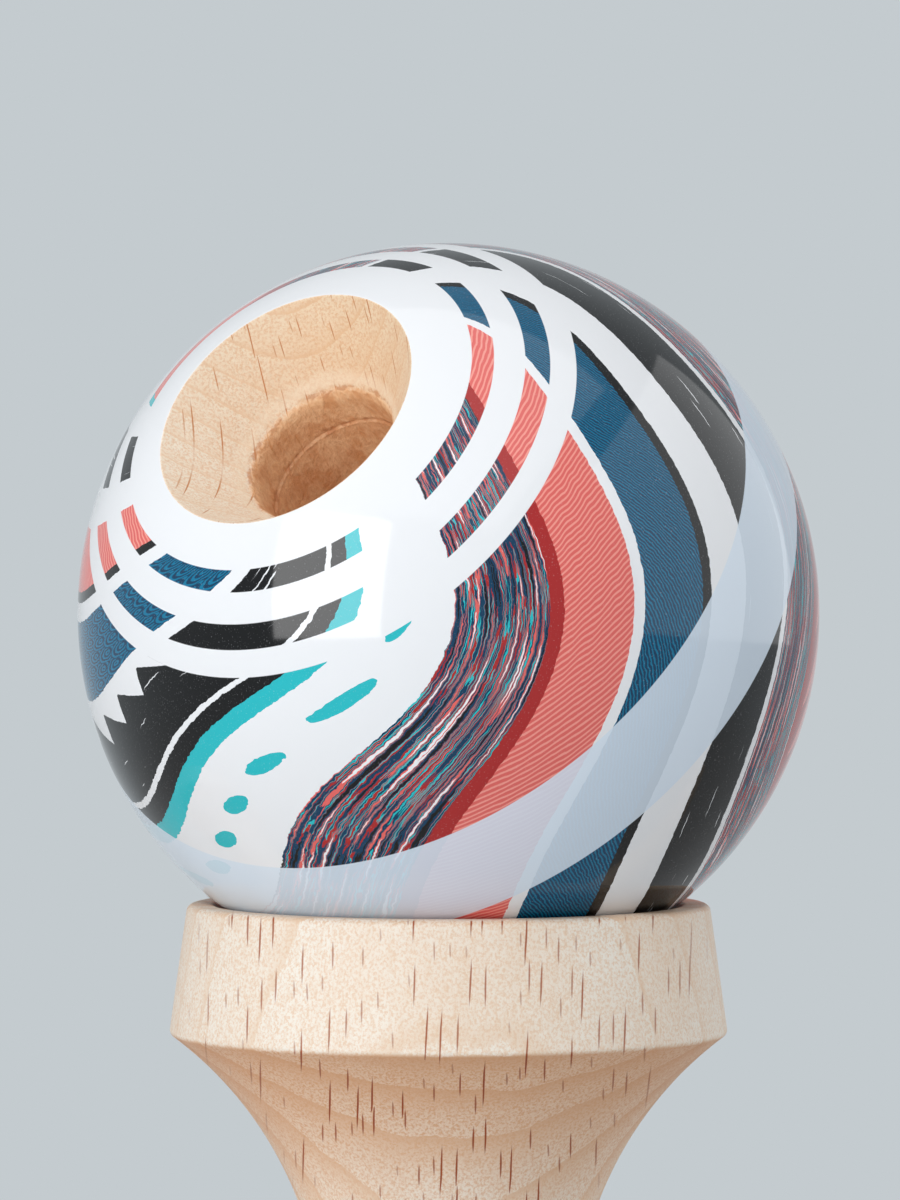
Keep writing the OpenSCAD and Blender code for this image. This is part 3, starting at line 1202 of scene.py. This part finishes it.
@dataclass
class Handle(Piece):
    """The handle: base cup, grip, taper seat and spike, turned in one piece."""

    node: str = "handle"
    body: str = "handle"
    slot: str = "beech"
    height: float = 32.5 * MM
    grip: float = 70 * MM
    spike: float = 95 * MM
    base_rim: float = 18 * MM
    base_depth: float = 6.5 * MM
    neck_at: float = 31 * MM
    neck: float = 8.5 * MM
    base_cove: float = 26 * MM
    belly: float = 10.2 * MM
    belly_at: float = 47 * MM
    seat: float = 7.4 * MM
    seat_angle: float = math.radians(1.6)
    seat_half: float = 12 * MM
    tip: float = 3.7 * MM
    tip_rounding: float = 2.6 * MM
    string_radius: float = 1.6 * MM
    knot_radius: float = 3 * MM
    knot_floor: float = 2 * MM
    cove_steps: int = 40
    ease_steps: int = 14
    turns: int = 160

    def build(self) -> None:
        """Turns the handle, lays it along X, drills its string hole and dresses it in beech."""
        mesh = self._outline().turned(self.turns)
        lay = Matrix.Translation((-self.grip, 0.0, self.height)) @ Matrix.Rotation(math.pi / 2, 4, "Y")
        bmesh.ops.transform(mesh, matrix=lay, verts=mesh.verts[:])
        wood = Beech(
            "beech_handle",
            pith=Vector((0.0, 15 * MM, self.height - 9 * MM)),
            grain=Vector((1.0, 0.0, 0.02)),
            bark=Vector((0.0, -1.0, 0.55)),
            ends=(-self.grip, self.spike),
        )
        self.show(mesh, [wood.material()], self._drills())

    def _outline(self) -> Lathe:
        """Draws the half outline, from the base bowl's floor to the tip.

        Returns:
            The outline, with heights counted from the base rim.
        """
        base = Cup(self.base_rim, self.base_depth, self.neck_at, self.neck, self.base_cove)
        corner_r, corner_h = base.corner
        seat_start = self.grip - self.seat_half
        seat_end = self.grip + self.seat_half
        length = self.grip + self.spike
        lathe = Lathe(0.0, base.depth)
        lathe.arc(0.0, base.depth - base.sphere, -base.bowl_angle, BOWL_STEPS, base.lip_rounding)
        lathe.line(base.rim, 0.0, base.rim_rounding)
        lathe.line(corner_r, base.arm - corner_h, base.band_rounding)
        lathe.arc(base.cove_centre, base.arm, base.cove_angle - 180, self.cove_steps)
        self._ease(lathe, self.neck_at, self.neck, self.belly_at, self.belly)
        self._ease(lathe, self.belly_at, self.belly, seat_start, self._seat_radius(seat_start))
        lathe.line(self._seat_radius(seat_end), seat_end)
        lathe.line(self.tip, length, self.tip_rounding)
        lathe.line(0.0, length)
        return lathe

    def _seat_radius(self, along: float) -> float:
        """Gives the taper seat's radius at a distance from the base rim."""
        return self.seat + (self.grip - along) * math.tan(self.seat_angle)

    def _ease(self, lathe: Lathe, start: float, start_r: float, end: float, end_r: float) -> None:
        """Draws a stretch that eases from one radius to another.

        Args:
            lathe: The outline so far.
            start: Where the stretch starts, from the base rim.
            start_r: Radius there.
            end: Where it ends.
            end_r: Radius there.
        """
        for step in range(1, self.ease_steps + 1):
            share = step / self.ease_steps
            rise = (1 - math.cos(math.pi * share)) / 2
            lathe.line(start_r + (end_r - start_r) * rise, start + (end - start) * share)

    def _drills(self) -> list[bmesh.types.BMesh]:
        """Makes the drills for the string and for its knot.

        Returns:
            The meshes of both.
        """
        reach = 2 * self.belly
        front = Vector((0.0, -reach, self.height))
        back = Vector((0.0, reach, self.height))
        knot_end = Vector((0.0, -self.knot_floor, self.height))
        return [drill_rod(front, back, self.string_radius), drill_rod(front, knot_end, self.knot_radius)]


@dataclass(kw_only=True)
class Ball(Piece):
    """The ball: printed and lacquered outside, bare beech in its stepped hole."""

    centre: Vector
    turn: Euler
    node: str = "ball"
    body: str = "ball"
    slot: str = "ball_lacquer"
    radius: float = 30 * MM
    mouth: float = 11.1 * MM
    bevel: float = math.radians(37.6)
    lip: float = 0.6 * MM
    ledge_rounding: float = 0.06 * MM
    ledge_slope: float = 0.2 * MM
    ledge: float = 0.14 * MM
    throat: float = 6.1 * MM
    throat_length: float = 3.2 * MM
    bore: float = 5.85 * MM
    bore_length: float = 20 * MM
    chamber: float = 5 * MM
    chamber_length: float = 7 * MM
    drill_half_angle: float = math.radians(59)
    string_radius: float = 2 * MM
    string_chamfer: float = 0.6 * MM
    edge_rounding: float = 0.12 * MM
    print_lean: float = math.radians(-1.4)
    print_depth: float = 0.02 * MM
    outside_steps: int = 150
    turns: int = 256

    def build(self) -> None:
        """Turns the ball about its hole and dresses it in its print and in bare beech."""
        mesh = self._outline().turned(self.turns)
        for face in mesh.faces:
            outside = all(vert.co.length > self.radius - self.print_depth for vert in face.verts)
            face.material_index = 0 if outside else 1
        place = Matrix.Translation(self.centre) @ self.turn.to_matrix().to_4x4()
        bmesh.ops.transform(mesh, matrix=place, verts=mesh.verts[:])
        tilted = Euler((0.0, self.turn.y + self.print_lean, self.turn.z))
        wood = DrilledBeech(
            "beech_ball",
            pith=self.centre + Vector((1 * MM, 25 * MM, 29 * MM)),
            grain=Vector((-0.38, -0.69, 0.61)),
            bark=Vector((-0.03, -0.65, -0.76)),
            ring=2.2 * MM,
            ring_contrast=(0.15, 0.3),
            ring_line=0.6,
            light=srgb(247, 238, 223),
            late=srgb(239, 212, 183),
            pore=srgb(236, 207, 178),
            ray=srgb(204, 142, 92),
            end_stain=srgb(255, 255, 255),
            fleck_face=(0.0, 0.3),
            ray_gap=0.9 * MM,
            ray_run=5 * MM,
            ray_half_width=0.055 * MM,
            ray_half_length=(0.4 * MM, 1.7 * MM),
            centre=self.centre,
            hole_turn=self.turn,
            hole=self.throat + self.lip / 2,
            ledge=self.ledge_height,
        )
        self.show(mesh, [BallPrint(self.centre, tilted).material(), wood.material()])

    @property
    def mouth_height(self) -> float:
        """Height of the hole's mouth above the ball's centre, along the hole."""
        return math.sqrt(self.radius**2 - self.mouth**2)

    @property
    def throat_height(self) -> float:
        """Height at which the bevel reaches the throat."""
        return self.mouth_height - (self.mouth - self.throat) / math.tan(self.bevel)

    @property
    def ledge_height(self) -> float:
        """Height of the ledge that the throat ends in."""
        return self.throat_height - self.throat_length

    def _outline(self) -> Lathe:
        """Draws the half outline, from the string hole round the outside and in at the mouth.

        Returns:
            The outline.
        """
        ledge_h = self.ledge_height
        bore_h = ledge_h - self.bore_length
        chamber_h = bore_h - (self.bore - self.chamber) / math.tan(self.drill_half_angle)
        floor_h = chamber_h - self.chamber_length
        string_h = floor_h - (self.chamber - self.string_radius) / math.tan(self.drill_half_angle)
        exit_r = self.string_radius + self.string_chamfer
        exit_h = -math.sqrt(self.radius**2 - exit_r**2)
        start = math.degrees(math.atan2(exit_h, exit_r))
        end = math.degrees(math.atan2(self.mouth_height, self.mouth))
        lathe = Lathe(exit_r, exit_h)
        lathe.arc(0.0, 0.0, end - start, self.outside_steps, self.edge_rounding)
        lathe.line(self.throat, self.throat_height, self.lip)
        lathe.line(self.throat, ledge_h, self.ledge_rounding)
        lathe.line(self.throat - self.ledge, ledge_h - self.ledge_slope, self.ledge_rounding)
        lathe.line(self.bore, bore_h)
        lathe.line(self.chamber, chamber_h)
        lathe.line(self.chamber, floor_h)
        lathe.line(self.string_radius, string_h)
        lathe.line(self.string_radius, exit_h + self.string_chamfer)
        lathe.close()
        return lathe


@dataclass(kw_only=True)
class Bead(Piece):
    """The bead that swivels on the floor of the ball's hole."""

    ball_centre: Vector
    turn: Euler
    node: str = "string_bead"
    body: str = "bead"
    slot: str = "bead_wood"
    radius: float = 4.5 * MM
    hole: float = 1.5 * MM
    chamfer: float = 0.5 * MM
    rounding: float = 0.2 * MM
    height: float = -6.854 * MM
    outside_steps: int = 40
    turns: int = 64

    def build(self) -> None:
        """Turns the bead about its hole and dresses it in waxed wood."""
        rim = self.hole + self.chamfer
        rim_h = math.sqrt(self.radius**2 - rim**2)
        sweep = 2 * math.degrees(math.atan2(rim_h, rim))
        lathe = Lathe(rim, -rim_h)
        lathe.arc(0.0, 0.0, sweep, self.outside_steps, self.rounding)
        lathe.line(self.hole, rim_h - self.chamfer, self.rounding)
        lathe.line(self.hole, self.chamfer - rim_h, self.rounding)
        lathe.close()
        mesh = lathe.turned(self.turns)
        turn = self.turn.to_matrix()
        centre = self.ball_centre + turn @ Vector((0.0, 0.0, self.height))
        bmesh.ops.transform(mesh, matrix=Matrix.Translation(centre) @ turn.to_4x4(), verts=mesh.verts[:])
        self.show(mesh, [BeadWood(centre, self.turn).material()])


@dataclass
class Softbox:
    """A flat studio lamp that faces the ball."""

    name: str
    azimuth: float
    elevation: float
    distance: float
    width: float
    height: float
    brightness: float

    def hang(self, target: Vector) -> None:
        """Hangs the lamp.

        Args:
            target: The point that it faces.
        """
        lamp = bpy.data.lights.new(self.name, "AREA")
        lamp.shape = "RECTANGLE"
        lamp.size = self.width
        lamp.size_y = self.height
        lamp.energy = self.brightness * math.pi * self.width * self.height
        heading = math.radians(self.azimuth)
        level = math.radians(self.elevation)
        flat = math.cos(level)
        away = Vector((math.sin(heading) * flat, -math.cos(heading) * flat, math.sin(level)))
        hung = linked(self.name, lamp)
        hung.location = target + away * self.distance
        hung.rotation_euler = away.to_track_quat("Z", "Y").to_euler()
        LOG.info("%s: lamp at %d degrees round, %d up", self.name, self.azimuth, self.elevation)


@dataclass
class Studio:
    """A pale floor that runs out into a pale background, soft lamps and the camera."""

    ball: Vector
    background: Colour = srgb(196, 203, 207)
    floor_colour: Colour = srgb(207, 210, 212)
    sky: float = 0.24
    floor_radius: float = 4.0
    floor_sides: int = 96
    floor_fade: Span = (0.1, 0.34)
    lens: float = 185.1
    sensor: float = 36.0
    clip: Span = (0.01, 50.0)
    camera_distance: float = 499.8 * MM
    camera_rise: float = 8.1 * MM
    camera_side: float = 0.12 * MM
    camera_pitch: float = math.radians(0.8)
    lamps: tuple[Softbox, ...] = (
        Softbox("key_softbox", -37, 10, 0.8, 0.5, 0.56, 4.5),
        Softbox("top_softbox", -20, 68, 0.9, 1.4, 1.4, 0.84),
        Softbox("right_softbox", 96, 12, 0.9, 1.3, 1.3, 0.82),
    )

    def build(self) -> None:
        """Lays the floor, colours the world, hangs the lamps and sets up the camera."""
        self._floor()
        self._world()
        for lamp in self.lamps:
            lamp.hang(self.ball)
        self._camera()
        bpy.context.scene.view_settings.view_transform = "Standard"

    def _floor(self) -> None:
        """Lays a wide round floor that fades into the background away from the object."""
        mesh = bmesh.new()
        bmesh.ops.create_circle(mesh, cap_ends=True, segments=self.floor_sides, radius=self.floor_radius)
        floor = mesh_object("floor", mesh)
        sheet = Paint("studio_floor")
        far = sheet.place(Vector(), Euler()).off_axis().between(*self.floor_fade)
        sheet.dress({"Base Color": self.floor_colour, "Roughness": 0.9, "Specular IOR Level": 0.1})
        glow = sheet.add("ShaderNodeEmission", {"Color": self.background})
        sheet.blend(far * sheet.seen(), sheet.shader, glow)
        floor.data.materials.append(sheet.material)

    def _world(self) -> None:
        """Gives the world a plain light level, and the background colour where it is seen."""
        world = bpy.data.worlds.new("studio")
        bpy.context.scene.world = world
        world.use_nodes = True
        sheet = Sheet(world.node_tree)
        lit = sheet.add("ShaderNodeBackground", {"Color": (1.0, 1.0, 1.0), "Strength": self.sky})
        backdrop = sheet.add("ShaderNodeBackground", {"Color": self.background})
        sheet.blend(sheet.seen(), lit, backdrop)

    def _camera(self) -> None:
        """Sets up the long lens, level with the ball and close to it."""
        camera = bpy.data.cameras.new("camera")
        camera.lens = self.lens
        camera.sensor_width = self.sensor
        camera.sensor_fit = "AUTO"
        camera.clip_start, camera.clip_end = self.clip
        stand = linked("camera", camera)
        stand.location = self.ball + Vector((self.camera_side, -self.camera_distance, self.camera_rise))
        stand.rotation_euler = Euler((math.pi / 2 - self.camera_pitch, 0.0, 0.0))
        bpy.context.scene.camera = stand


def ball_pose() -> tuple[Vector, Euler]:
    """Reads where the ball lies and how its hole is turned from the frame's own joint.

    Returns:
        The ball's centre, and the turn that takes +Z to the hole's axis.
    """
    spin = next(joint for joint in frame["joints"] if joint["name"] == "ball_spin")
    axis = Vector(spin["axis"]).normalized()
    lean = math.acos(axis.z)
    heading = math.atan2(axis.y, axis.x)
    return Vector(spin["pos_m"]), Euler((0.0, lean, heading))


def main() -> None:
    """Builds the pieces and the studio in order."""
    logging.basicConfig(level=logging.INFO, format="%(name)s: %(message)s")
    centre, turn = ball_pose()
    cross_piece = CrossPiece()
    cross_piece.build()
    Handle(height=cross_piece.handle_height).build()
    Bead(ball_centre=centre, turn=turn).build()
    Ball(centre=centre, turn=turn).build()
    Studio(ball=centre).build()


if __name__ == "__main__":
    main()
